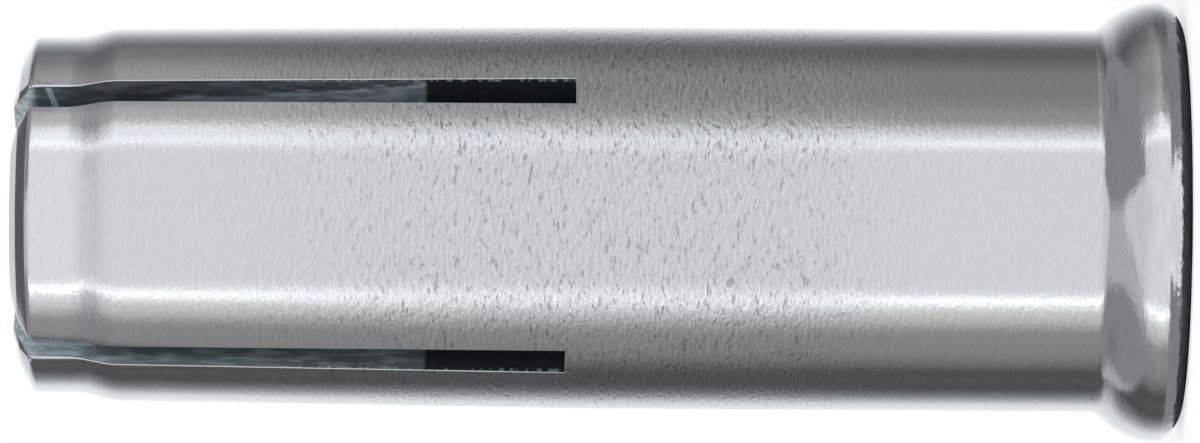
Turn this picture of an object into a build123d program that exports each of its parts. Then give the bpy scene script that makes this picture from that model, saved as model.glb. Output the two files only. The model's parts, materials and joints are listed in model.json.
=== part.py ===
"""A hammer-set drop-in anchor for an M8 bolt: a slotted sleeve with a flared rim, and the plug that spreads it.

The anchor stands on its rim. The origin is the centre of the mouth, at the rim's end face, and +Z runs along
the axis towards the slotted end. Lengths are in millimetres.
"""

import os
from math import radians, tan

from build123d import *

os.makedirs("parts", exist_ok=True)

# Sleeve, outside
sleeve_length = 30.0
body_diameter = 9.78
rim_diameter = 11.26
rim_band = 0.74  # straight stretch of the rim, before its corners are rounded
rim_corner_height = 0.56  # the rolled outer corner of the mouth, along the axis
rim_corner_width = 0.8  # and across it
rim_corner_bulge = 0.13
rim_edge_radius = 0.25
flare_height = 1.08
flare_root_radius = 0.5
flare_crown_radius = 1.4

# Slots: two saw cuts across the sleeve, at right angles, which leave four legs
slot_width = 0.84
slot_lengths = (14.4, 14.15)
leg_lean = 0.13  # how far each leg's tip is pressed inwards
nose_length = 2.38  # from the shoulder to the tip
nose_step = 0.2
nose_step_height = 0.58
shoulder_edge_radius = 1.0  # at both ends of the step
tip_bevel_height = 0.32
tip_bevel_width = 0.48
tip_cone_height = 0.2
tip_cone_width = 0.685
tip_edge_radius = 0.2
leg_corner_radius = 0.5

# Sleeve, inside
thread_minor_diameter = 6.647
thread_major_diameter = 8.0
thread_length = 12.2
mouth_chamfer_clearance = 0.15  # the countersink opens this much wider than the thread, on the radius
taper_half_angle = 6.0
tip_bore_chamfer = 0.15

# Expansion plug
plug_diameter = 7.3  # wider than the thread, which keeps it in
plug_length = 6.1
plug_cylinder_length = 2.5
plug_edge = 0.25

# Fits
plug_clearance = 0.05  # on the radius, plug in its chamber
plug_back_gap = 0.3  # behind the plug, to the end of the thread
plug_travel = 2.0  # from there to where its cone meets the legs' taper
plug_seat_gap = 0.02  # on the radius, what is left between the cones at the end of that travel

# Radii and heights that follow
body_radius = body_diameter / 2
rim_radius = rim_diameter / 2
minor_radius = thread_minor_diameter / 2
mouth_radius = thread_major_diameter / 2 + mouth_chamfer_clearance
mouth_chamfer = mouth_radius - minor_radius
taper_slope = tan(radians(taper_half_angle))
rim_top = rim_corner_height + rim_band
flare_top = rim_top + flare_height
legs_start = sleeve_length - max(slot_lengths)
shoulder = sleeve_length - nose_length
shoulder_radius = body_radius - leg_lean
nose_radius = shoulder_radius - nose_step
nose_start = shoulder + nose_step_height
tip_cone_start = sleeve_length - tip_cone_height
tip_cone_radius = nose_radius - tip_bevel_width
tip_bevel_start = tip_cone_start - tip_bevel_height
tip_radius = tip_cone_radius - tip_cone_width
thread_end = mouth_chamfer + thread_length
chamber_radius = plug_diameter / 2 + plug_clearance
plug_back = thread_end + plug_back_gap
plug_front = plug_back + plug_length
cone_start = plug_back + plug_cylinder_length
taper_start = cone_start + plug_travel + (plug_seat_gap - plug_clearance) / taper_slope
tip_bore_radius = chamber_radius - (sleeve_length - taper_start) * taper_slope

# Sleeve: one half of its section, turned about the axis, then sawn into four legs
with BuildPart() as anchor_sleeve:
    with BuildSketch(Plane.XZ) as half_section:
        with BuildLine() as outline:
            SagittaArc(
                (rim_radius - rim_corner_width, 0),
                (rim_radius, rim_corner_height),
                -rim_corner_bulge,
            )
            Polyline(
                (rim_radius, rim_corner_height),
                (rim_radius, rim_top),
                (body_radius, flare_top),
                (body_radius, legs_start),
                (shoulder_radius, shoulder),
                (nose_radius, nose_start),
                (nose_radius, tip_bevel_start),
                (tip_cone_radius, tip_cone_start),
                (tip_radius, sleeve_length),
                (tip_bore_radius + tip_bore_chamfer, sleeve_length),
                (tip_bore_radius + tip_bore_chamfer * taper_slope, sleeve_length - tip_bore_chamfer),
                (chamber_radius, taper_start),
                (chamber_radius, thread_end),
                (minor_radius, thread_end),
                (minor_radius, mouth_chamfer),
                (mouth_radius, 0),
                (rim_radius - rim_corner_width, 0),
            )
        make_face()
        # Rounded corners of the outside, each found by its height
        for height, radius in (
            (rim_corner_height, rim_edge_radius),
            (rim_top, flare_crown_radius),
            (flare_top, flare_root_radius),
            (shoulder, shoulder_edge_radius),
            (nose_start, shoulder_edge_radius),
            (tip_bevel_start, tip_edge_radius),
        ):
            corner = half_section.vertices().filter_by_position(Axis.Y, height - 0.001, height + 0.001)
            fillet(corner, radius)
    revolve(axis=Axis.Z)

    # Each cut narrows towards the tip, because the legs lean inwards, and its mouth has rounded corners
    for saw_plane, slot_length in zip((Plane.YZ, Plane.XZ), slot_lengths):
        with BuildSketch(saw_plane) as saw_cut:
            with BuildLine():
                slot_root = sleeve_length - slot_length
                half_tip = slot_width / 2 - leg_lean
                Polyline(
                    (0, slot_root),
                    (slot_width / 2, slot_root),
                    (half_tip, shoulder),
                    (half_tip, sleeve_length - leg_corner_radius),
                )
                CenterArc(
                    (half_tip + leg_corner_radius, sleeve_length - leg_corner_radius),
                    leg_corner_radius,
                    start_angle=180,
                    arc_size=-90,
                )
                Polyline(
                    (half_tip + leg_corner_radius, sleeve_length),
                    (half_tip + leg_corner_radius, sleeve_length + leg_corner_radius),
                    (0, sleeve_length + leg_corner_radius),
                )
                mirror(about=Plane.YZ)
            make_face()
        extrude(amount=rim_radius, both=True, mode=Mode.SUBTRACT)
anchor_sleeve.part.label = "anchor_sleeve"
export_step(anchor_sleeve.part, "parts/anchor_sleeve.step")

# Expansion plug: a short pin whose front half tapers as the legs do
with BuildPart() as expansion_plug:
    with BuildSketch(Plane.XY.offset(plug_back)):
        Circle(plug_diameter / 2)
    extrude(amount=plug_length)
    back_edge = expansion_plug.edges().sort_by(Axis.Z)[0]
    chamfer(back_edge, plug_edge)
    with BuildSketch(Plane.XZ) as turned_off:
        with BuildLine():
            nose_drop = (plug_length - plug_cylinder_length) * taper_slope
            Polyline(
                (plug_diameter / 2, cone_start),
                (plug_diameter / 2, plug_front),
                (plug_diameter / 2 - nose_drop, plug_front),
                close=True,
            )
        make_face()
    revolve(axis=Axis.Z, mode=Mode.SUBTRACT)
    nose_edge = expansion_plug.edges().sort_by(Axis.Z)[-1]
    fillet(nose_edge, plug_edge)
expansion_plug.part.label = "expansion_plug"
export_step(expansion_plug.part, "parts/expansion_plug.step")
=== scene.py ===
# %% [markdown]
# # A drop-in anchor, dressed for its photograph
#
# The anchor is a short steel sleeve, threaded inside at its flared end and sawn
# into four legs at the other, with a conical plug waiting behind the thread. A
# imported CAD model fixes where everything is; this script gives it the finer
# shapes and the zinc-plated finish, and sets up the light and the camera. The
# rim stands on the floor at z = 0 and the legs point up along Z.

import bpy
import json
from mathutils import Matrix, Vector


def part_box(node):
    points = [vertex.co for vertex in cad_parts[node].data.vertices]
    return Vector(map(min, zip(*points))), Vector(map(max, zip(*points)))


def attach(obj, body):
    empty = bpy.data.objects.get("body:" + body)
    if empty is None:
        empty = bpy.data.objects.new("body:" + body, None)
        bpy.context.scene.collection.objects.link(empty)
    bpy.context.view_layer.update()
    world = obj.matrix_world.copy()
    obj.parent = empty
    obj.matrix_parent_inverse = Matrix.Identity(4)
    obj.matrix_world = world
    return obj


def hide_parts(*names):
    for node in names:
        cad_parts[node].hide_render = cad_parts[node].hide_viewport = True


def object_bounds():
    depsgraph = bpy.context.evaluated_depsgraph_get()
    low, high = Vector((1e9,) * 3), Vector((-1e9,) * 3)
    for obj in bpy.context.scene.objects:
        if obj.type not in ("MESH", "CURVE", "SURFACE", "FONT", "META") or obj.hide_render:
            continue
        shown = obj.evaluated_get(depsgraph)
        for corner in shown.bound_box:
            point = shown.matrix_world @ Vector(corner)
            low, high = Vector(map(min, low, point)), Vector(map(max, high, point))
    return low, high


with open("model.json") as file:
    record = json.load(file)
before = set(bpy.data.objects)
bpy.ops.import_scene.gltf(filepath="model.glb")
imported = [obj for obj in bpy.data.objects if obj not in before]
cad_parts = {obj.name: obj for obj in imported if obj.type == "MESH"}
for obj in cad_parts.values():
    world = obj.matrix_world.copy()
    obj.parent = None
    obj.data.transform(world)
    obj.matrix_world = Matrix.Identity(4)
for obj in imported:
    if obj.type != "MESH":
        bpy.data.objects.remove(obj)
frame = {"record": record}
cad_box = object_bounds()
print("CAD box, m:", [list(corner) for corner in cad_box])

# %% [markdown]
# ## Working in millimetres
#
# The smallest roundings here are a few hundredths of a millimetre, which is close
# to the rounding errors of Blender's mesh tools when a unit is a metre. So each
# shape is worked out with one unit to the millimetre, and shrunk as its last step.
# Sizes that the CAD model or its record already gives, such as the length of the
# sleeve and the bore of the thread, are read from there.

# %% Units, and the sizes that the frame gives
import json
import math

import bmesh
import bpy
from mathutils import Matrix, Vector

MM = 0.001


def in_mm(metres):
    return round(metres / MM, 4)


record = frame["record"]
threaded = next(mount["dims"] for mount in record["mounts"] if mount["name"] == "thread")
plug_low, plug_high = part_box("expansion_plug")
LENGTH = in_mm(cad_box[1].z)
THREAD_MINOR = threaded["r_mm"]
THREAD_LENGTH = threaded["length_mm"]
PLUG_RADIUS = in_mm(plug_high.x)
PLUG_BACK = in_mm(plug_low.z)
PLUG_FRONT = in_mm(plug_high.z)
PLUG_TRAVEL = in_mm(record["behaviour"]["joints"][0]["range_m"][1])
print("sleeve, mm long:", LENGTH, "- bore of the thread:", THREAD_MINOR, "x", THREAD_LENGTH)
print("plug, mm: radius", PLUG_RADIUS, "from", PLUG_BACK, "to", PLUG_FRONT, "travel", PLUG_TRAVEL)

# %% [markdown]
# ## From a bmesh to a piece that rides on the frame
#
# Every piece ends in the same way: it is shrunk to metres, gets smooth shading
# with sharp edges where two turned faces meet, and is fastened to a body of the
# CAD model, so that it moves with the joint. The lips of the saw cuts are rounded
# last, by a Bevel modifier that reads a weight from each edge, because a modifier
# can round lips of different widths in one go.

# %% Finish a piece
SHARP = math.radians(35)
LIP_FACETS = 4


def round_lips(piece, widest):
    """Rounds the edges that carry a bevel weight, up to widest millimetres wide."""
    mesh = piece.data
    weights = mesh.attributes["bevel_weight_edge"].data
    for edge, weight in zip(mesh.edges, weights):
        if weight.value > 0:
            edge.use_edge_sharp = False
    rounded = piece.modifiers.new("rounded_lips", "BEVEL")
    rounded.limit_method = "WEIGHT"
    rounded.width = widest * MM
    rounded.segments = LIP_FACETS
    rounded.material = 0
    rounded.use_clamp_overlap = False


def finish_piece(name, bm, body, finishes, replaces=None, lip=0):
    """Shrinks bm to metres, wraps it in an object and fastens it to a CAD body."""
    bmesh.ops.scale(bm, vec=Vector((MM, MM, MM)), verts=bm.verts)
    mesh = bpy.data.meshes.new(name)
    bm.to_mesh(mesh)
    bm.free()
    mesh.polygons.foreach_set("use_smooth", [True] * len(mesh.polygons))
    mesh.set_sharp_from_angle(angle=SHARP)
    for finish in finishes:
        mesh.materials.append(finish)
    piece = bpy.data.objects.new(name, mesh)
    bpy.context.scene.collection.objects.link(piece)
    if lip:
        round_lips(piece, lip)
    even = piece.modifiers.new("even_shading", "WEIGHTED_NORMAL")
    even.keep_sharp = True
    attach(piece, body)
    if replaces:
        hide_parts(replaces)
    print(f"{name}: {len(mesh.vertices)} points, {len(mesh.polygons)} faces")


# %% [markdown]
# ## Writing materials as arithmetic
#
# Node trees get long when every sum is a node placed by hand. One small class
# stands for a node's output and turns +, -, * and / into Math nodes, and a recipe
# adds any other node from its type, its settings and the values of its sockets.

# %% A socket that can be calculated with
class Out:
    """A node's output, with arithmetic that adds Math nodes."""

    def __init__(self, recipe, socket):
        self.recipe = recipe
        self.socket = socket

    def math(self, operation, *others):
        values = dict(enumerate((self, *others)))
        return self.recipe.node("ShaderNodeMath", {"operation": operation}, values)

    def __add__(self, other):
        return self.math("ADD", other)

    __radd__ = __add__

    def __mul__(self, other):
        return self.math("MULTIPLY", other)

    __rmul__ = __mul__

    def __sub__(self, other):
        return self.math("SUBTRACT", other)

    def __rsub__(self, other):
        return self.math("MULTIPLY", -1.0) + other

    def __truediv__(self, other):
        return self.math("DIVIDE", other)

    def above(self, low, high):
        """0 below low, 1 above high, and a smooth step between."""
        sockets = {"Value": self, "From Min": low, "From Max": high}
        return self.recipe.node("ShaderNodeMapRange", {"interpolation_type": "SMOOTHSTEP"}, sockets)


# %% A recipe of nodes
class Recipe:
    """The nodes of one material or world."""

    def __init__(self, owner):
        owner.use_nodes = True
        self.tree = owner.node_tree
        self.tree.nodes.clear()

    def node(self, kind, settings, sockets, output=0):
        node = self.tree.nodes.new(kind)
        for name, value in settings.items():
            if name == "stops":
                ramp = node.color_ramp
                for position, _ in value[1:-1]:
                    ramp.elements.new(position)
                for element, (position, brightness) in zip(ramp.elements, value):
                    element.position = position
                    element.color = (brightness, brightness, brightness, 1)
            else:
                setattr(node, name, value)
        for key, value in sockets.items():
            if isinstance(value, Out):
                self.tree.links.new(value.socket, node.inputs[key])
            else:
                node.inputs[key].default_value = value
        return Out(self, node.outputs[output]) if node.outputs else None

    def vector(self, operation, *values, output=0):
        return self.node("ShaderNodeVectorMath", {"operation": operation}, dict(enumerate(values)), output)

    def scaled(self, colour, factor):
        """A colour made brighter by a number, or a place made longer."""
        return self.node("ShaderNodeVectorMath", {"operation": "SCALE"}, {0: colour, "Scale": factor})

    def mix(self, factor, first, second):
        """From the first colour at 0 to the second at 1."""
        sockets = {0: factor, 6: first, 7: second}
        return self.node("ShaderNodeMix", {"data_type": "RGBA"}, sockets, 2)

    def noise(self, place, scale, detail=2.0, roughness=0.5, shift=(0, 0, 0)):
        """Noise on a place in mm; scale is (x, y, z) in cells to the mm, shift is in cells."""
        moved = {"Vector": place, "Location": shift, "Scale": scale}
        mapped = self.node("ShaderNodeMapping", {}, moved)
        sockets = {"Vector": mapped, "Scale": 1.0, "Detail": detail, "Roughness": roughness}
        return self.node("ShaderNodeTexNoise", {}, sockets)

    def place_mm(self):
        """A point's place on the piece, in mm."""
        return self.scaled(self.node("ShaderNodeTexCoord", {}, {}, "Object"), 1 / MM)

    def part(self, place, axis):
        """One coordinate of a place: X, Y or Z."""
        return self.node("ShaderNodeSeparateXYZ", {}, {0: place}, axis)

    def ray(self, kind):
        """1 for one kind of ray, such as Is Camera Ray, and 0 for the others."""
        return self.node("ShaderNodeLightPath", {}, {}, kind)

    def metal(self, colour, roughness, height, depth_mm, shine=1.0):
        """The shader of a bare or plated metal, with its relief; shine is lower for a dull crust."""
        bump = {"Strength": 1.0, "Distance": depth_mm * MM, "Height": height}
        relief = self.node("ShaderNodeBump", {}, bump)
        sockets = {"Base Color": colour, "Metallic": shine, "Roughness": roughness, "Normal": relief}
        surface = self.node("ShaderNodeBsdfPrincipled", {}, sockets)
        self.node("ShaderNodeOutputMaterial", {}, {"Surface": surface})


# %% [markdown]
# ## Zinc plate over tumbled steel
#
# The sleeve was turned from bar, tumbled in a barrel of stones and then plated
# with zinc. Turning leaves marks that run round the sleeve, and tumbling breaks
# them into short dents, about three times as long as they are high. Noise that is
# squeezed along Z gives just that on a round surface, with no seam, because going
# round the axis moves through x and y alone. The dents are deepest halfway up,
# the rim is rolled and streaky, the end face is nicked, and the plating has a cold
# tint that warms in places.

# %% The outside of the sleeve
ZINC_COOL = (0.612, 0.634, 0.656, 1)
ZINC_WARM = (0.650, 0.643, 0.628, 1)
DENTS = (3.6, 3.6, 10.0)  # dents to the mm, along x, y and z
# the difference of the dents and this copy is painted light on one side of each dent and painted shade on
# the other
DENT_LIGHT = (0.05, 0.05, 0.35)  # the same dents moved a little: the difference lights one side of each
PLATE_RELIEF = 0.012


def zinc_plate(name):
    material = bpy.data.materials.new(name)
    recipe = Recipe(material)
    place = recipe.place_mm()
    z = recipe.part(place, "Z")
    worn = z.above(6.0, 11.0) * (1 - z.above(18.0, 26.0))
    rolled = 1 - z.above(0.9, 2.0)
    end_face = 1 - z.above(0.3, 0.5)
    nose = z.above(27.6, 28.3)
    dents = recipe.noise(place, DENTS, detail=4.0, roughness=0.65)
    painted_dent_light = dents - recipe.noise(place, DENTS, detail=4.0, roughness=0.65, shift=DENT_LIGHT)
    grain = recipe.noise(place, (9.0, 9.0, 14.0), shift=(40, 40, 40))
    streaks = recipe.noise(place, (0.9, 0.9, 4.0), detail=3.0, shift=(70, 70, 70))
    pits = recipe.noise(place, (3.4, 3.4, 10.5), shift=(90, 90, 90)).above(0.585, 0.70) * worn
    nicks = recipe.noise(place, (2.2, 2.2, 5.0), detail=3.0, shift=(55, 55, 55)) * end_face
    height = dents * (worn * 0.8 + 0.3) + grain * 0.2 - pits * 0.3 + streaks * rolled + nicks * 5
    # the colour carries painted light and shade on the dents, strongest where they are deepest
    shade = 1 + painted_dent_light * (worn * 0.45 + 0.2) + (dents - 0.5) * (worn * 0.2 + 0.1)
    shade = shade + (streaks - 0.5) * rolled * 0.4 + (grain - 0.5) * 0.12
    # the pits are also painted darker: painted shade in their hollows
    shade = shade - worn * 0.045 - pits * 0.30 + nose * 0.09 + rolled * 0.03
    tint = recipe.noise(place, (0.35, 0.35, 0.2), shift=(15, 15, 15)).above(0.45, 0.7)
    colour = recipe.scaled(recipe.mix(tint * 0.2, ZINC_COOL, ZINC_WARM), shade)
    recipe.metal(colour, grain * 0.05 + 0.088, height, PLATE_RELIEF)
    return material


sleeve_outside = zinc_plate("zinc_plate_tumbled")
print("nodes in the zinc plate:", len(sleeve_outside.node_tree.nodes))

# %% [markdown]
# ## The walls of the saw cuts
#
# A slitting saw cut the slots, so their walls carry fine marks across the cut, and
# the stones of the barrel never reached them: they are dull and dark, with a crust
# of zinc in pale and dark spots. Beside the plug they are painted black, as painted
# shade, and past its nose they are painted paler, as painted light: deep in one
# cut, along the edge of the other, and in both at the tip. The cut at +x is also
# painted darker overall as shade, a pale slanting band near its tip is a painted
# highlight, and pale specks along the walls' outer edge are painted glints. One
# material holds it all, with masks made from the place on the piece.

# %% A mottled crust, with painted shade beside the plug and painted light past its nose
WALL_EDGE = 4.85  # radius at which the walls meet the outside
PLUG_NOSE = 19.4
# the dark end is the crust and also the painted shade beside the plug; the pale end is the crust and also
# the painted light
DARK_CRUST_AND_PAINTED_SHADE = (0.050, 0.060, 0.065, 1)
PALE_CRUST_AND_PAINTED_LIGHT = (0.80, 0.93, 0.98, 1)


def crust_painted_light_and_shade(name):
    material = bpy.data.materials.new(name)
    recipe = Recipe(material)
    place = recipe.place_mm()
    x, y, z = [recipe.part(place, axis) for axis in "XYZ"]
    flat = recipe.node("ShaderNodeCombineXYZ", {}, {0: x, 1: y, 2: 0.0})
    depth = WALL_EDGE - recipe.vector("LENGTH", flat, output="Value")
    cut_at_x = x.above(1.5, 2.0)
    cut_at_y = 1 - y.above(-2.0, -1.5)
    # 0 beside the plug, where the walls are painted black as shade, and 1 past its nose
    clear_of_plug_shade = z.above(PLUG_NOSE - 0.05, PLUG_NOSE + 0.1)
    lines = recipe.noise(place, (1.5, 1.5, 9.0))
    mottled = recipe.noise(place, (5.0, 5.0, 1.2), detail=3.0, roughness=0.6, shift=(31, 31, 31))
    mottled = mottled.above(0.42, 0.68)
    # pale specks along the walls' outer edge: painted glints of a ragged edge
    painted_edge_glints = recipe.noise(place, (1.0, 1.0, 6.0), detail=3.0, shift=(11, 11, 11)).above(0.5, 0.58)
    painted_edge_glints = painted_edge_glints * (1 - depth.above(0.03, 0.1))
    # painted light: deep in the cut at +x past the plug, along the outer edge of the cut at -y, and in both
    # at the tip; pale below adds them up
    painted_light_deep = (depth - (z - PLUG_NOSE) * 0.085 + mottled * 0.1).above(0.15, 0.3)
    painted_light_deep = painted_light_deep * (1 - z.above(24.5, 28.0)) * cut_at_x
    painted_light_edge = (1 - depth.above(0.1, 0.5)) * z.above(21.0, 25.0) * cut_at_y
    painted_light_tip = (z.above(27.3, 28.6) * cut_at_y).math("MAXIMUM", z.above(29.3, 29.5) * cut_at_x)
    pale = (painted_light_deep * 0.9).math("MAXIMUM", painted_light_edge * 0.45).math("MAXIMUM", painted_light_tip * 0.8)
    # a pale slanting band near the tip of the cut at +x: a painted highlight, not a ridge in the mesh
    slant = z + depth * 0.25
    ridge = slant.above(29.03, 29.09) * (1 - slant.above(29.17, 29.23)) * cut_at_x
    # the cut at +x is painted 40 per cent darker overall: painted shade
    shade = (mottled * 0.32 + 0.26) * (1 - cut_at_x * 0.4) + pale * (mottled * 0.6 + 0.5) + ridge * 1.2
    shade = shade * clear_of_plug_shade + painted_edge_glints * 0.7
    colour = recipe.mix(shade, DARK_CRUST_AND_PAINTED_SHADE, PALE_CRUST_AND_PAINTED_LIGHT)
    recipe.metal(colour, lines * 0.15 + 0.42, lines + mottled * 0.4, 0.02, shine=0.5)
    return material


sleeve_sawn = crust_painted_light_and_shade("zinc_plate_sawn")
print("nodes in the walls' crust:", len(sleeve_sawn.node_tree.nodes))

# %% [markdown]
# ## Bored and turned faces
#
# Little zinc gets inside the bore, so it is grey steel with the marks of the
# drill and the tap. The plug was turned, and its colour is painted darker than the
# bore's, as painted shade for where it sits deep inside the sleeve. Both are the
# same recipe: fine rings from the cutter, and a slow change from dark to light
# where oil and zinc have smeared.

# %% The bore and the plug
def turned_face(name, light, dark, marks, depth_mm):
    """A bored or turned face; marks is its pattern's (x, y, z) scale, in lines to the mm."""
    material = bpy.data.materials.new(name)
    recipe = Recipe(material)
    place = recipe.place_mm()
    lines = recipe.noise(place, marks)
    smear = recipe.noise(place, (1.2, 1.2, 0.7), shift=(31, 31, 31))
    colour = recipe.mix(smear.above(0.35, 0.7), dark, light)
    recipe.metal(colour, lines * 0.15 + 0.28, lines + smear * 0.4, depth_mm)
    return material


sleeve_bored = turned_face(
    "steel_bored", light=(0.42, 0.43, 0.43, 1), dark=(0.25, 0.25, 0.25, 1),
    marks=(2.0, 2.0, 7.0), depth_mm=0.012,
)
# darker than the bore: painted shade for the plug deep inside the sleeve
plug_turned = turned_face(
    "plug_turned", light=(0.30, 0.32, 0.33, 1), dark=(0.20, 0.21, 0.22, 1),
    marks=(2.5, 2.5, 8.0), depth_mm=0.008,
)
print("inner finishes:", sleeve_bored.name, plug_turned.name)

# %% [markdown]
# ## The sleeve's section
#
# On the real anchor everything round comes from a lathe, so one flat half of its
# section says it all: the rolled rim, the flare, the long body that leans in a
# little where the legs start, the stepped nose, the flat cone at the tip, and
# inside the thread's bore, the plug's chamber and the taper that the plug
# spreads. The inside follows from the plug, as it does in the CAD model. The
# section is laid out as a face with sharp corners, and a bevel of single corners
# then rounds each by its own amount, as a lathe tool does.

# %% Sizes of the outside and of the bore
BODY = 4.91
RIM = 5.65
NOSE = 4.575
LEANED_IN = 4.785  # radius of the legs at the shoulder
SHOULDER = LENGTH - 2.38
LONG_CUT_ROOT = round(LENGTH - 14.4, 4)
SHORT_CUT_ROOT = round(LENGTH - 14.15, 4)

MOUTH = 4.15  # the countersink, at 45 degrees
THREAD_MAJOR = 4.0
GROOVE_END = 12.35  # where the tap's last full groove ends
GROOVE_RUNOUT = 0.4
THREAD_END = round(MOUTH - THREAD_MINOR + THREAD_LENGTH, 4)
TAPER = math.tan(math.radians(6))
PLUG_CLEARANCE = 0.05
SEAT_GAP = 0.02
PLUG_CYLINDER = 2.5
CONE_START = PLUG_BACK + PLUG_CYLINDER
CHAMBER = PLUG_RADIUS + PLUG_CLEARANCE
TAPER_START = round(CONE_START + PLUG_TRAVEL + (SEAT_GAP - PLUG_CLEARANCE) / TAPER, 4)
TIP_BORE = round(CHAMBER - (LENGTH - TAPER_START) * TAPER, 4)
TIP_CHAMFER = 0.15
print("chamber from", THREAD_END, "to", TAPER_START, "- bore at the tip:", TIP_BORE)

# %% Draw the half section and round its corners
# each corner: radius, height, how far its rounding reaches back, and facets
rim_corners = [(4.83, 0, 0.03, 2), (5.39, 0.051, 0.50, 10), (RIM, 0.56, 0.06, 3), (RIM, 0.95, 0.22, 6)]
flare_corners = [(5.50, 1.40, 0.18, 5), (5.28, 1.79, 0.16, 6), (BODY, 2.20, 0.15, 8)]
leg_corners = [(BODY, LONG_CUT_ROOT, 0, 0), (LEANED_IN, 27.50, 0.24, 8), (NOSE, 28.28, 0.24, 8)]
tip_corners = [(NOSE, 29.50, 0.11, 6), (4.08, 29.8, 0.05, 3), (3.395, LENGTH, 0.04, 2)]
taper_corners = [
    (TIP_BORE + TIP_CHAMFER, LENGTH, 0, 0), (TIP_BORE + TIP_CHAMFER * TAPER, LENGTH - TIP_CHAMFER, 0, 0),
    (CHAMBER, TAPER_START, 0, 0), (CHAMBER, THREAD_END, 0, 0),
]
thread_corners = [
    (THREAD_MINOR, THREAD_END, 0, 0), (THREAD_MINOR, GROOVE_END + GROOVE_RUNOUT, 0, 0),
    (THREAD_MAJOR, GROOVE_END, 0, 0), (THREAD_MAJOR, MOUTH - THREAD_MAJOR, 0, 0), (MOUTH, 0, 0.04, 2),
]


def half_section(corners):
    """A section in the XZ plane as a bmesh of edges, with its corners rounded."""
    bm = bmesh.new()
    ring = [bm.verts.new((radius, 0, height)) for radius, height, *_ in corners]
    bm.faces.new(ring)
    for vert, (_, _, reach, facets) in zip(ring, corners):
        if reach:
            bmesh.ops.bevel(
                bm, geom=[vert], offset=reach, offset_type="OFFSET", segments=facets,
                profile=0.5, affect="VERTICES", material=-1,
            )
    bmesh.ops.delete(bm, geom=bm.faces[:], context="FACES_ONLY")
    return bm


sleeve = half_section(
    rim_corners + flare_corners + leg_corners + tip_corners + taper_corners + thread_corners
)
print("section points:", len(sleeve.verts))

# %% [markdown]
# ## Rows that match inside and out
#
# The walls of the saw cuts will be bridged from the bore to the outside, which is
# neat only if both have the same rows. So above the saw cuts' roots the section
# is cut at every height where either side has a corner, at two more that divide
# the long legs, and at a few near the tip, where the legs' corners are rounded.

# %% Cut the section at matching heights
TOUCHING = 1e-3
LEG_CORNER = 0.6
CORNER_ANGLES = (0, 25, 45, 60, 72, 81)
leg_rows = {SHORT_CUT_ROOT, 20.0, 24.0}
corner_rows = {LENGTH - LEG_CORNER * (1 - math.sin(math.radians(angle))) for angle in CORNER_ANGLES}
section_rows = {v.co.z for v in sleeve.verts if LONG_CUT_ROOT < v.co.z < LENGTH - TOUCHING}
rows = {round(row, 4) for row in leg_rows | corner_rows | section_rows}
for row in sorted(rows):
    everything = sleeve.verts[:] + sleeve.edges[:]
    bmesh.ops.bisect_plane(sleeve, geom=everything, dist=1e-5, plane_co=(0, 0, row), plane_no=(0, 0, 1))
print("rows above the roots:", len(rows), "- section points:", len(sleeve.verts))

# %% [markdown]
# ## Spin the section, then saw it
#
# A full spin in steps of 3 1/3 degrees, started half a step round, puts a column
# of edges 5 degrees to each side of every saw cut. The three columns between are
# deleted above the cut's root, and the points beside them are slid round until
# the gap is as wide as the real cut: 0.84 mm at the root and 0.68 mm at the tip,
# since the legs are pressed inwards, opening out at the very end where the legs'
# corners are rounded.

# %% Spin the section
STEPS = 108
STEP = 2 * math.pi / STEPS
bmesh.ops.rotate(sleeve, cent=(0, 0, 0), matrix=Matrix.Rotation(STEP / 2, 3, "Z"), verts=sleeve.verts)
bmesh.ops.spin(
    sleeve, geom=sleeve.verts[:] + sleeve.edges[:], cent=(0, 0, 0), axis=(0, 0, 1),
    angle=2 * math.pi, steps=STEPS, use_merge=True,
)
bmesh.ops.remove_doubles(sleeve, verts=sleeve.verts, dist=1e-4)
print("faces after the spin:", len(sleeve.faces))

# %% Delete the columns of the four saw cuts
CUT_ROOTS = {
    (1, 0): LONG_CUT_ROOT, (-1, 0): LONG_CUT_ROOT,
    (0, 1): SHORT_CUT_ROOT, (0, -1): SHORT_CUT_ROOT,
}
COLUMN = 1.5 * STEP  # from a cut's middle to the first column of edges that stays


def nearest_cut(point):
    """The direction of the saw cut nearest to a point, and the angle from it."""
    along = max(CUT_ROOTS, key=lambda way: way[0] * point.x + way[1] * point.y)
    ahead = along[0] * point.x + along[1] * point.y
    aside = along[0] * point.y - along[1] * point.x
    return along, math.atan2(aside, ahead)


sawn_away = []
for face in sleeve.faces:
    middle = face.calc_center_median()
    along, angle = nearest_cut(middle)
    if abs(angle) < COLUMN and middle.z > CUT_ROOTS[along]:
        sawn_away.append(face)
bmesh.ops.delete(sleeve, geom=sawn_away, context="FACES")
print("faces sawn away:", len(sawn_away), "- left:", len(sleeve.faces))

# %% Slide the columns beside each cut to its real width
HALF_CUT_ROOT = 0.42
HALF_CUT_TIP = 0.34
HALF_LEG = math.radians(45)  # from a cut's middle to a leg's middle


def half_cut(height):
    """Half the width of a cut at a height: it narrows as the legs lean in, and its mouth is rounded."""
    lean = min(max((height - LONG_CUT_ROOT) / (SHOULDER - LONG_CUT_ROOT), 0), 1)
    half = HALF_CUT_ROOT + (HALF_CUT_TIP - HALF_CUT_ROOT) * lean
    rise = max(height - (LENGTH - LEG_CORNER), 0)
    return half + LEG_CORNER - math.sqrt(max(LEG_CORNER**2 - rise**2, 0))


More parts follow.
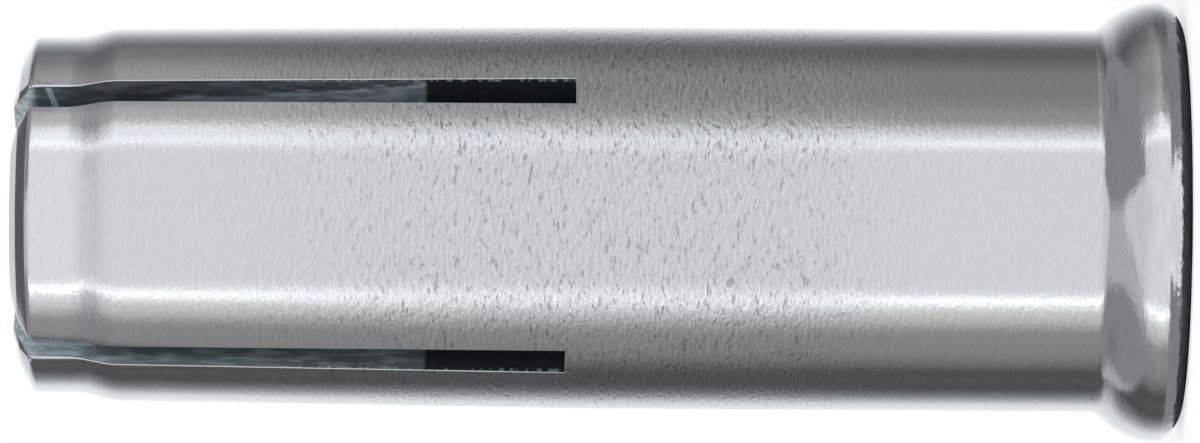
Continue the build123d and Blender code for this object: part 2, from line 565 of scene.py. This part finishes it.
for vert in sleeve.verts:
    along, angle = nearest_cut(vert.co)
    if vert.co.z < CUT_ROOTS[along] - TOUCHING:
        continue
    edge = math.asin(half_cut(vert.co.z) / vert.co.xy.length)
    if abs(angle) <= COLUMN + 1e-4:
        wanted = abs(angle) * edge / COLUMN
    else:
        share = (abs(angle) - COLUMN) / (HALF_LEG - COLUMN)
        wanted = edge + (HALF_LEG - edge) * share
    turn = Matrix.Rotation(math.copysign(wanted, angle) - angle, 3, "Z")
    vert.co = turn @ vert.co
widths = [round(2 * half_cut(height), 3) for height in (LONG_CUT_ROOT, SHOULDER)]
print("width of a cut, mm, at its root and at the shoulder:", widths)

# %% [markdown]
# ## Walls for the saw cuts
#
# Each cut now has an open edge that runs up one leg, over the tip and down the
# next, outside and in. Bridging the outer run to the inner one makes both walls
# and the floor of the cut at once. The flat ring at the very tip belongs to
# neither run, and the bridge closes it.

# %% Bridge the walls
BETWEEN_ROOT = 4.2  # radius between the bore and the outside, at the cuts' roots
BETWEEN_TIP = 3.0  # and at the tip
END_RING = (2.6, 3.31)  # radii between which an edge of the flat ring has its middle


def is_outside(point):
    share = (point.z - LONG_CUT_ROOT) / (LENGTH - LONG_CUT_ROOT)
    return point.xy.length > BETWEEN_ROOT + (BETWEEN_TIP - BETWEEN_ROOT) * share


def on_end_ring(edge, middle):
    at_tip = all(v.co.z > LENGTH - TOUCHING for v in edge.verts)
    return at_tip and END_RING[0] < middle.xy.length < END_RING[1]


for way in CUT_ROOTS:
    outer = []
    inner = []
    for edge in sleeve.edges:
        middle = (edge.verts[0].co + edge.verts[1].co) / 2
        if not edge.is_boundary or nearest_cut(middle)[0] != way or on_end_ring(edge, middle):
            continue
        (outer if is_outside(middle) else inner).append(edge)
    walls = bmesh.ops.bridge_loops(sleeve, edges=outer + inner)["faces"]
    for face in walls:
        face.material_index = 1
    print("saw cut", way, "edges outside and in:", len(outer), len(inner), "faces:", len(walls))
bmesh.ops.recalc_face_normals(sleeve, faces=sleeve.faces[:])

# %% [markdown]
# ## Finish of the bore, and lips along the cuts
#
# The bore gets its own finish, by each face's place. A saw leaves a sharp lip,
# which tumbling turns into a narrow bright edge: a bevel a few hundredths of a
# millimetre wide, and wider at the tip, where the anchor is knocked about most.

# %% Give the bore its finish, and weigh the lips
LIP = 0.025
TIP_LIP = 0.14
TIP_LIP_START = 29.2  # the height at which the lips start to widen
TIP_LIP_RISE = 0.4
OUTER_LIP = 3.9  # only lips past this radius do


def is_bored(point):
    within = 0.02 < point.z < LENGTH - 0.2 and point.xy.length < MOUTH - 0.01
    return within and not is_outside(point)


for face in sleeve.faces:
    if face.material_index == 0 and is_bored(face.calc_center_median()):
        face.material_index = 2
lip_weight = sleeve.edges.layers.float.new("bevel_weight_edge")
for edge in sleeve.edges:
    if {face.material_index for face in edge.link_faces} == {0, 1}:
        height = (edge.verts[0].co.z + edge.verts[1].co.z) / 2
        widens = edge.verts[0].co.xy.length > OUTER_LIP
        near_tip = min(max((height - TIP_LIP_START) / TIP_LIP_RISE, 0), 1) if widens else 0
        edge[lip_weight] = (LIP + (TIP_LIP - LIP) * near_tip) / TIP_LIP
print("open or doubled edges:", sum(1 for edge in sleeve.edges if not edge.is_manifold))
finish_piece(
    "sleeve", sleeve, "sleeve",
    (sleeve_outside, sleeve_sawn, sleeve_bored), "anchor_sleeve", lip=TIP_LIP,
)

# %% [markdown]
# ## The thread
#
# An M8 thread rises 1.25 mm a turn, right-handed, with flanks at 60 degrees. A
# ridge of that shape is spun round the axis while it climbs, which is what a tap
# does. Its base is buried a little in the bore's wall. At the mouth the
# countersink has cut the ridge down, so points that would stick out of that cone
# are pushed back to it.

# %% Spin the ridge of the thread
PITCH = 1.25
TURN_STEPS = 48
BURIED = 0.03  # how deep the ridge's base lies in the wall
thread_from = 0.75
thread_to = GROOVE_END - 0.05
base_half = PITCH * 7 / 16 + 0.02
crest_half = PITCH / 8
thread = bmesh.new()
ridge = [
    thread.verts.new((radius, 0, thread_from + offset))
    for radius, offset in (
        (THREAD_MAJOR + BURIED, -base_half), (THREAD_MINOR, -crest_half),
        (THREAD_MINOR, crest_half), (THREAD_MAJOR + BURIED, base_half),
    )
]
thread.faces.new(ridge)
turns = (thread_to - thread_from) / PITCH
steps = int(turns * TURN_STEPS)
bmesh.ops.spin(
    thread, geom=thread.verts[:] + thread.edges[:] + thread.faces[:], cent=(0, 0, 0), axis=(0, 0, 1),
    dvec=(0, 0, PITCH / TURN_STEPS), angle=2 * math.pi * steps / TURN_STEPS, steps=steps,
)
for vert in thread.verts:
    radius = vert.co.xy.length
    countersink = MOUTH - vert.co.z + 0.01
    if radius < countersink:
        vert.co.x *= countersink / radius
        vert.co.y *= countersink / radius
bmesh.ops.recalc_face_normals(thread, faces=thread.faces[:])
finish_piece("thread_turns", thread, "sleeve", (sleeve_bored,))
print("turns of thread:", round(turns, 1))

# %% [markdown]
# ## The plug
#
# A turned pin with a chamfered back and a front half that tapers as the legs do.
# It shows through the saw cuts and from the mouth, so it is spun finely enough to
# look round there.

# %% Spin the plug
BACK_CHAMFER = 0.25
nose_radius = PLUG_RADIUS - (PLUG_FRONT - CONE_START) * TAPER
plug = half_section([
    (0, PLUG_BACK, 0, 0), (PLUG_RADIUS - BACK_CHAMFER, PLUG_BACK, 0.03, 2),
    (PLUG_RADIUS, PLUG_BACK + BACK_CHAMFER, 0.03, 2), (PLUG_RADIUS, CONE_START, 0, 0),
    (nose_radius, PLUG_FRONT, 0.22, 6), (0, PLUG_FRONT, 0, 0),
])
axis_edges = [edge for edge in plug.edges if all(abs(v.co.x) < 1e-5 for v in edge.verts)]
bmesh.ops.delete(plug, geom=axis_edges, context="EDGES")
bmesh.ops.spin(
    plug, geom=plug.verts[:] + plug.edges[:], cent=(0, 0, 0), axis=(0, 0, 1),
    angle=2 * math.pi, steps=96, use_merge=True,
)
bmesh.ops.remove_doubles(plug, verts=plug.verts, dist=1e-4)
bmesh.ops.recalc_face_normals(plug, faces=plug.faces[:])
print("open edges on the plug:", sum(1 for edge in plug.edges if not edge.is_manifold))
finish_piece("plug", plug, "plug", (plug_turned,), "expansion_plug")

# %% [markdown]
# ## The floor
#
# A plain pale disc. The camera sees it as white as the background, with a faint
# shadow under the rim. Polished metal is a mirror, though: past the rim's own
# shadow the floor lets reflections through to the studio, which keeps the lower
# half of the sleeve as bright as the upper half. Under the rim it is dark grey to
# reflections, a painted shade that draws the dark line along the rim's bottom
# edge. From below it is see-through, and it is open under the mouth, so that light
# reaches the thread there.

# %% A pale disc that keeps the shadow
FLOOR_RADIUS = 0.25
RIM_SHADOW = (0.0054, 0.0055)  # from the axis, in metres
UNDER_MOUTH = (0.00485, 0.0049)
floor_bm = bmesh.new()
bmesh.ops.create_circle(floor_bm, cap_ends=True, segments=96, radius=FLOOR_RADIUS)
floor_mesh = bpy.data.meshes.new("floor")
floor_bm.to_mesh(floor_mesh)
floor_bm.free()
floor = bpy.data.objects.new("floor", floor_mesh)
bpy.context.scene.collection.objects.link(floor)
print("floor, m across:", 2 * FLOOR_RADIUS)


# %% Pale to the camera, dark grey to reflections under the rim, open to them beyond
def grey(value):
    return (value, value, value, 1)


floor_finish = bpy.data.materials.new("pale_floor")
recipe = Recipe(floor_finish)
camera_ray = recipe.ray("Is Camera Ray")
glossy_ray = recipe.ray("Is Glossy Ray")
spot = recipe.node("ShaderNodeTexCoord", {}, {}, "Object")
from_axis = recipe.vector("LENGTH", spot, output="Value")
underside = recipe.node("ShaderNodeNewGeometry", {}, {}, "Backfacing")
# to reflections the disc is dark grey: painted shade under the rim
pale = recipe.node("ShaderNodeBsdfDiffuse", {}, {"Color": recipe.mix(glossy_ray, grey(0.8), grey(0.2))})
glow = recipe.node("ShaderNodeEmission", {}, {"Color": grey(1), "Strength": 0.62})
lit = recipe.node("ShaderNodeAddShader", {}, {0: pale, 1: glow})
seen = recipe.node("ShaderNodeMixShader", {}, {0: camera_ray, 1: pale, 2: lit})
clear = recipe.node("ShaderNodeBsdfTransparent", {}, {})
through = (glossy_ray * from_axis.above(*RIM_SHADOW)).math("MAXIMUM", underside)
through = through.math("MAXIMUM", 1 - from_axis.above(*UNDER_MOUTH))
surface = recipe.node("ShaderNodeMixShader", {}, {0: through, 1: seen, 2: clear})
recipe.node("ShaderNodeOutputMaterial", {}, {"Surface": surface})
floor_mesh.materials.append(floor_finish)
print("nodes in the floor:", len(floor_finish.node_tree.nodes))

# %% [markdown]
# ## The camera
#
# A long lens from 22 cm away, level with the middle of the sleeve. It is laid on
# its side, so that the anchor lies across the picture with its legs to the left,
# and it stands between two saw cuts, which show above and below the middle.

# %% Place the camera
SENSOR = 36
AZIMUTH = math.radians(48.7)
ROLL = math.radians(0.38)
DISTANCE = 220.0
CAMERA_HEIGHT = 14.5
AIM_HEIGHT = 14.98
AIM_DROP = 0.09
FIELD = 30.97  # mm of the anchor across the picture's width
towards_camera = Vector((math.sin(AZIMUTH), -math.cos(AZIMUTH), 0))
picture_up = Vector((math.cos(AZIMUTH), math.sin(AZIMUTH), 0))
aim = Vector((0, 0, AIM_HEIGHT)) - picture_up * AIM_DROP
place = aim + towards_camera * DISTANCE + Vector((0, 0, CAMERA_HEIGHT - aim.z))
back = (place - aim).normalized()
right = picture_up.cross(back)
tilt = Matrix.Rotation(ROLL, 3, back)
view = Matrix((tilt @ right, tilt @ picture_up, back)).transposed().to_4x4()
camera_data = bpy.data.cameras.new("camera")
camera_data.sensor_width = SENSOR
camera_data.lens = SENSOR * DISTANCE / FIELD
camera_data.clip_start = 0.01
camera_data.clip_end = 10
camera = bpy.data.objects.new("camera", camera_data)
bpy.context.scene.collection.objects.link(camera)
camera.matrix_world = Matrix.Translation(place * MM) @ view
bpy.context.scene.camera = camera
print("lens, mm:", round(camera_data.lens, 1))

# %% [markdown]
# ## The studio
#
# Metal shows nothing but what it reflects, so the light is laid out as bands
# round the sleeve: a white tent in front with a brighter edge, dark screens at
# both sides, and the white backdrop behind, which gives the bright rims. The
# bands stand upright, so they depend on the direction round the axis. The screens
# are a little warm, and on the upper side a little lighter just above the level
# of the camera.

# %% Light bands round the object
world = bpy.data.worlds.new("studio")
bpy.context.scene.world = world
recipe = Recipe(world)
way = recipe.node("ShaderNodeTexCoord", {}, {}, "Generated")
front = recipe.vector("DOT_PRODUCT", way, tuple(towards_camera), output="Value")
side = recipe.vector("DOT_PRODUCT", way, tuple(picture_up), output="Value")
height = recipe.part(way, "Z")
aside = side.math("ABSOLUTE")
round_angle = aside.math("ARCTAN2", front) / math.pi
at_screens = aside.above(0.74, 0.84)


def bands(stops):
    """Brightness by the angle from the camera's side, in degrees."""
    scaled = [(angle / 180, brightness) for angle, brightness in stops]
    return recipe.node("ShaderNodeValToRGB", {"stops": scaled}, {0: round_angle})


upper_bands = bands([
    (0, 1.0), (41, 1.0), (43.5, 1.02), (46.5, 1.6), (50.5, 1.06), (57, 0.72), (61, 0.40), (68, 0.39),
    (74, 0.335), (80, 0.293), (95, 0.293), (101, 0.28), (109, 0.22), (118, 0.16), (128, 0.165),
    (141, 0.39), (160, 0.95), (180, 1.0),
])
lower_bands = bands([
    (0, 1.0), (39, 1.0), (45.5, 1.05), (50, 2.0), (54, 1.02), (60, 0.81), (66, 0.62), (70.5, 0.37),
    (78, 0.36), (84, 0.345), (91, 0.31), (98, 0.22), (105, 0.105), (114, 0.135), (124, 0.105),
    (135, 0.32), (150, 0.97), (180, 1.0),
])
rising = height.above(0.014, 0.045) * (1 - height.above(0.06, 0.2) * 0.6)
upper_bands = recipe.scaled(upper_bands, rising * at_screens * 0.75 + 1)
studio = recipe.mix(side.above(-0.001, 0.001), lower_bands, upper_bands)
studio = recipe.mix(at_screens, studio, recipe.vector("MULTIPLY", studio, (1.03, 1.0, 0.965)))
print("nodes in the bands:", len(world.node_tree.nodes))

# %% [markdown]
# ## A roof, a floor and a back for the studio
#
# The straight body reflects only what stands level with it, but the flare, the
# nose and the end faces lean, and see what is above and below. The white panel in
# front ends under a grey roof, and its top edge slopes down to both sides, which
# draws the curved edge of the light on the flare. Low down it is grey, apart from
# the front. High up at the back a pale patch faces the flat cone at the tip, and
# a dark one above it faces the bevel. The camera itself sees plain white.

# %% What stands above, below and behind
upper_fall = (aside * 1.3 - 0.16).math("MAXIMUM", 0.0).math("MINIMUM", 0.36)
lower_fall = aside * 0.58
panel_fall = lower_fall + (upper_fall - lower_fall) * side.above(-0.05, 0.05)
over_panel = (height + panel_fall).above(0.90, 0.94)
pale_roof = (1 - (height - side).above(1.27, 1.31)) * (1 - side.above(0.03, 0.15))
faded = 1 - height.above(0.15, 0.6) * 0.15
studio = recipe.mix(over_panel, recipe.scaled(studio, faded), recipe.mix(pale_roof, grey(0.33), grey(0.60)))
not_in_front = aside.above(0.4, 0.5).math("MAXIMUM", 1 - front.above(-0.3, 0.1))
studio = recipe.mix((1 - height.above(-0.4, -0.15)) * not_in_front, studio, grey(0.3))
to_rear = (1 - front.above(-0.1, 0.0)) * (1 - aside.above(0.3, 0.45))
studio = recipe.mix(height.above(0.3, 0.45) * to_rear, studio, grey(0.75))
steeply_back = (1 - front.above(-0.3, -0.1)) * (1 - aside.above(0.5, 0.65))
studio = recipe.mix(height.above(0.58, 0.72) * steeply_back, studio, grey(0.13))
shown = recipe.mix(recipe.ray("Is Camera Ray"), studio, grey(1))
backdrop = recipe.node("ShaderNodeBackground", {}, {"Color": shown, "Strength": 1.0})
recipe.node("ShaderNodeOutputWorld", {}, {"Surface": backdrop})
bpy.context.scene.view_settings.view_transform = "Standard"
print("nodes in the studio:", len(world.node_tree.nodes))
